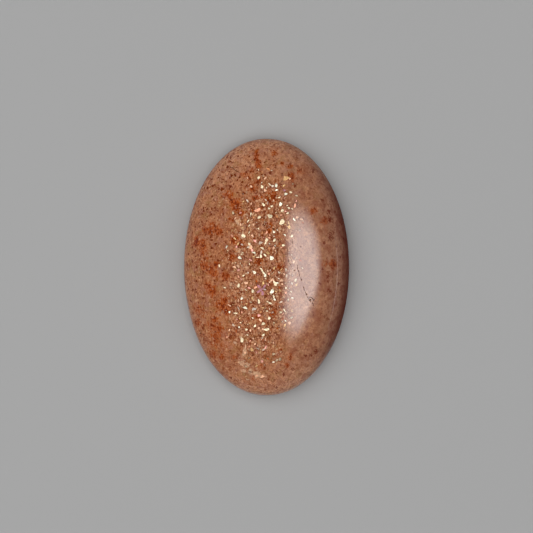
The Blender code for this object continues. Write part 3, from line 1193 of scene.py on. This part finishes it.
        # A fleck shows where a stain's strength, as a share of its reach, is above a shard's own number.
        for name, stain, shard, reach in (
            ("stain flecks", "stain", "fine shards", 1.1),
            ("stain blots", "stain", "coarse shards", 0.8),
            ("stain cores", "stain", "fine shards", 0.65),
            ("smudge flecks", "smudge", "fine shards", 1.5),
            ("glow flecks", "glow", "coarse shards", 1.8),
        ):
            above = add("ShaderNodeMath", TIMES, in_0=found[stain], in_1=reach)
            found[name] = add("ShaderNodeMath", {"operation": "SUBTRACT"}, in_0=above, in_1=found[shard])
        streaked = add("ShaderNodeMapping", Vector=warped, Rotation=(0, 0, 0.2), Scale=(1.6, 0.8, 1))
        for name, where, *sizes in (
            ("streaks", streaked, 0.62, 0.3, 0.3, 0.45),
            ("small specks", warped, 0.42, 0.2, 0.6, 0.8),
            ("large specks", warped, 0.95, 0.27, 0.5, 0.6),
            ("pale specks", warped, 0.36, 0.2, 0.1, 0.5),
        ):
            found[name] = self.spots(add, where, *sizes)
        return found

    def material(self) -> bpy.types.Material:
        """Makes the material: the layers of colour under one clear coat, which is the polish.

        Returns:
            The material.
        """
        made = bpy.data.materials.new("polished_feldspar")
        add = blank(made)
        mm = millimetres(add)
        patterns = self.patterns(add, mm)
        colour = add("ShaderNodeRGB")
        colour.outputs[0].default_value = linear(self.ground)
        for layer in LAYERS:
            mask = patterns[layer.pattern]
            if layer.edges:
                ends = {"in_1": layer.edges[0], "in_2": layer.edges[1], "in_4": layer.strength}
                mask = add("ShaderNodeMapRange", SOFT, in_0=mask, **ends)
            else:
                mask = add("ShaderNodeMath", TIMES, in_0=mask, in_1=layer.strength)
            if layer.within:
                mask = add("ShaderNodeMath", TIMES, in_0=mask, in_1=patterns[layer.within])
            colour = add("ShaderNodeMixRGB", Fac=mask, Color1=colour, Color2=linear(layer.colour))
        kind = {"operation": "SUBTRACT", "use_clamp": True}
        shader = add(
            "ShaderNodeBsdfPrincipled",
            Base_Color=colour,
            Roughness=0.4,
            IOR=FELDSPAR_IOR,
            Specular_IOR_Level=0.0,
            Subsurface_Weight=0.05,
            Subsurface_Radius=(1.0, 0.45, 0.25),
            Subsurface_Scale=0.9 * MM,
            Coat_Weight=add("ShaderNodeMath", kind, in_0=patterns["gloss"], in_1=patterns["crack"]),
            Coat_Roughness=self.polish,
            Coat_IOR=FELDSPAR_IOR,
        )
        add("ShaderNodeOutputMaterial", Surface=shader)
        return made


@dataclass(frozen=True)
class CopperPlatelets:
    """Thin platelets of native copper and iron oxide, seen through the polish of the stone.

    Each is a tiny flat mirror in the feldspar that leans to face between the eye and the light, but its
    cream, gold or pink flash is mostly painted glint in its colour, so it stays pale from elsewhere.
    """

    metallic: float = 0.14
    roughness: float = 0.3
    polish: float = 0.045
    worn_per_mm: float = 6.0

    def material(self) -> bpy.types.Material:
        """Makes the material, which reads each platelet's own tint and plane.

        Returns:
            The material.
        """
        made = bpy.data.materials.new("copper_platelets")
        add = blank(made)
        mm = millimetres(add)
        patch = add("ShaderNodeTexNoise", Vector=mm, Scale=self.worn_per_mm, Detail=1.0)
        worn = add("ShaderNodeMapRange", in_0=patch, in_1=0.35, in_2=0.6, in_3=0.62, in_4=1.0)
        tint, plane = (
            add("ShaderNodeAttribute", {"attribute_name": name}).outputs["Vector"]
            for name in ("tint", "plane")
        )
        shader = add(
            "ShaderNodeBsdfPrincipled",
            Base_Color=add("ShaderNodeVectorMath", SCALED, in_0=tint, Scale=worn),
            Normal=add("ShaderNodeVectorMath", {"operation": "NORMALIZE"}, in_0=plane),
            Metallic=self.metallic,
            Roughness=self.roughness,
            IOR=FELDSPAR_IOR,
            Specular_IOR_Level=0.0,
            Coat_Weight=1.0,
            Coat_Roughness=self.polish,
            Coat_IOR=FELDSPAR_IOR,
        )
        add("ShaderNodeOutputMaterial", Surface=shader)
        return made


@dataclass(frozen=True)
class GroundBack:
    """Feldspar ground flat on a fine wheel and left unpolished: pale, even and silky."""

    roughness: float = 0.55
    clouds_per_mm: float = 0.8
    # The wheel's fine scratches are drawn at a sixth of a millimetre, coarser than real, to show.
    scratch_stretch: tuple[float, float, float] = (12, 1, 1)

    def material(self) -> bpy.types.Material:
        """Makes the material.

        Returns:
            The material.
        """
        made = bpy.data.materials.new("ground_feldspar")
        add = blank(made)
        mm = millimetres(add)
        cloud = add("ShaderNodeTexNoise", Vector=mm, Scale=self.clouds_per_mm, Detail=5.0)
        colour = add("ShaderNodeMixRGB", Fac=cloud, Color1=linear("#A97E66"), Color2=linear("#C9A288"))
        along = add("ShaderNodeMapping", Vector=mm, Rotation=(0, 0, 0.4), Scale=self.scratch_stretch)
        scratch = add("ShaderNodeTexNoise", Vector=along, Scale=0.5, Detail=2.0)
        bump = add("ShaderNodeBump", Height=scratch, Strength=0.25, Distance=0.02 * MM)
        smoothness = {"Roughness": self.roughness, "IOR": FELDSPAR_IOR}
        shader = add("ShaderNodeBsdfPrincipled", Base_Color=colour, Normal=bump, **smoothness)
        add("ShaderNodeOutputMaterial", Surface=shader)
        return made


@dataclass
class Studio:
    """Floor, soft lights and the straight-down camera."""

    lens: float = 150.0
    sensor: float = 36.0
    floor_radius: float = 4.0
    light_distance: float = 0.5

    def camera(self, cut: Cut) -> None:
        """Sets the camera straight above the stone, as far up as gives the photograph's size.

        Args:
            cut: The stone's sizes.
        """
        wide = cut.length * FRAME_PX / OVAL_LENGTH_PX
        per_px = wide / FRAME_PX
        data = bpy.data.cameras.new("camera")
        data.lens, data.sensor_width = self.lens, self.sensor
        data.clip_start, data.clip_end = 0.01, 10.0
        made = new_object("camera", data)
        made.location = (
            (FRAME_PX / 2 - OVAL_CENTRE_PX[0]) * per_px,
            (OVAL_CENTRE_PX[1] - FRAME_PX / 2) * per_px,
            cut.girdle + wide * self.lens / self.sensor,
        )
        bpy.context.scene.camera = made

    def floor(self) -> None:
        """Lays a disc of pale matt card under the stone, which is even and hardly reflects."""
        bm = bmesh.new()
        bmesh.ops.create_circle(bm, cap_ends=True, segments=96, radius=self.floor_radius)
        mesh = bpy.data.meshes.new("floor")
        bm.to_mesh(mesh)
        bm.free()
        card = bpy.data.materials.new("pale_matt_card")
        add = blank(card)
        matt = {"Roughness": 0.9, "Specular_IOR_Level": 0.2}
        shader = add("ShaderNodeBsdfPrincipled", Base_Color=linear("#A9A9A9"), **matt)
        add("ShaderNodeOutputMaterial", Surface=shader)
        mesh.materials.append(card)
        new_object("floor", mesh)

    def area_light(
        self,
        name: str,
        towards: tuple[float, float],
        size: tuple[float, float],
        radiance: float,
        glossy: bool = True,
        diffuse: bool = True,
    ) -> bpy.types.Light:
        """Hangs a soft elliptical light near the stone, facing it.

        Args:
            name: The light's name.
            towards: Lean of its direction from straight up towards +X and +Y, in degrees.
            size: Width and height as seen from the stone, in degrees.
            radiance: Brightness of its surface.
            glossy: Whether polished surfaces mirror it.
            diffuse: Whether it lights matt surfaces.

        Returns:
            The light's data.
        """
        data = bpy.data.lights.new(name, "AREA")
        data.shape = "ELLIPSE"
        data.size, data.size_y = (2 * self.light_distance * math.tan(math.radians(s / 2)) for s in size)
        data.energy = radiance * math.pi * math.pi / 4 * data.size * data.size_y
        made = new_object(name, data)
        out = Vector((*(math.tan(math.radians(lean)) for lean in towards), 1)).normalized()
        made.location = out * self.light_distance
        made.rotation_mode = "QUATERNION"
        made.rotation_quaternion = out.to_track_quat("Z", "X")
        made.visible_camera = False
        made.visible_glossy = glossy
        made.visible_diffuse = diffuse
        return data

    def drape(self, light: bpy.types.Light) -> None:
        """Drapes cloth over a softbox: bright in the middle, soft outwards, with one crisper side.

        Args:
            light: The softbox.
        """
        add = blank(light)
        on = add("ShaderNodeNewGeometry").outputs["Parametric"]
        axes = add("ShaderNodeSeparateXYZ", in_0=on)
        out = add("ShaderNodeVectorMath", {"operation": "DISTANCE"}, in_0=on, in_1=(0.5, 0.5, 0.0))
        # The corner nearest the floor is folded back.
        fold = {"operation": "MULTIPLY_ADD"}
        slope = add("ShaderNodeMath", fold, in_0=axes.outputs[1], in_1=0.7, in_2=-0.15)
        beyond = add("ShaderNodeMath", {"operation": "SUBTRACT"}, in_0=axes, in_1=slope)
        power = 1.0
        for value, dark, lit, foot in (
            (out.outputs["Value"], 0.5, 0.17, 0.0),
            (axes, 0.89, 0.74, 0.0),
            (beyond, -0.1, 0.08, 0.35),
        ):
            part = add("ShaderNodeMapRange", SOFT, in_0=value, in_1=dark, in_2=lit, in_3=foot, in_4=1.0)
            power = add("ShaderNodeMath", TIMES, in_0=power, in_1=part)
        glow = add("ShaderNodeEmission", Strength=power)
        add("ShaderNodeOutputLight", Surface=glow)

    def lights(self) -> None:
        """Hangs the studio's lights."""
        self.drape(self.area_light("softbox_right", (32.3, -4.0), (54.6, 66.0), 6.55, diffuse=False))
        self.area_light("softbox_spill", (38, -7), (44, 56), 0.85, glossy=False)
        self.area_light("soft_overhead", (-18, 1), (78, 84), 1.77, glossy=False)
        # A low strip on the right draws a thin line along the stone's shoulder.
        self.area_light("low_strip", (88.2, -74), (2.6, 34), 1.7, diffuse=False)

    def air(self) -> None:
        """Fills the studio with grey light, dimmer on the right and overhead."""
        world = bpy.data.worlds.new("studio_air")
        add = blank(world)
        aim = add("ShaderNodeTexCoord").outputs["Generated"]
        axes = add("ShaderNodeSeparateXYZ", in_0=aim)
        side = add("ShaderNodeMapRange", in_0=axes, in_1=-0.6, in_2=0.9, in_3=0.62, in_4=0.36)
        above = add("ShaderNodeMapRange", in_0=axes.outputs[2], in_1=0.0, in_2=0.9, in_3=0.45, in_4=0.2)
        level = add("ShaderNodeMath", TIMES, in_0=side, in_1=above)
        add("ShaderNodeOutputWorld", Surface=add("ShaderNodeBackground", Strength=level))
        bpy.context.scene.world = world
        bpy.context.scene.view_settings.view_transform = "Standard"


def main() -> None:
    """Builds the stone and its studio, and hands the stone to the frame."""
    logging.basicConfig(level=logging.INFO, format="%(name)s: %(message)s")
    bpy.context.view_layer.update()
    low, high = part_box(STONE)
    cut = Cut(width=high.x - low.x, length=high.y - low.y, height=high.z - low.z)
    studio = Studio()
    studio.camera(cut)
    studio.floor()
    studio.lights()
    studio.air()
    log.info("studio: camera, floor, lights and air")
    band = GlitterBand()
    copper = CopperPlatelets().material()
    platelets = PlateletBed(band, copper).platelets()
    log.info("platelets: %d laid out, %d of them large", len(platelets), len(LARGE_PLATELETS))
    hollows = [Hollow.crack(*crack, seed=k) for k, crack in enumerate(CRACKS)]
    hollows += [Hollow.pit(*pit, seed=20 + k) for k, pit in enumerate(PITS)]
    log.info("hollows in the polish: %d", len(hollows))
    lines = np.concatenate([h.outline for h in hollows])
    gaps = [np.linalg.norm(lines - p.middle, axis=1).min() - p.reach for p in platelets]
    platelets = [p for p, gap in zip(platelets, gaps, strict=True) if gap > HOLLOW_GAP]
    stone = PolishedStone(cut, band, platelets, hollows).build()
    for material in (Feldspar().material(), copper, GroundBack().material()):
        stone.data.materials.append(material)
    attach(stone, "root")
    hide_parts(STONE)
    log.info("%s: %d faces, %d platelets", stone.name, len(stone.data.polygons), len(platelets))


if __name__ == "__main__":
    main()
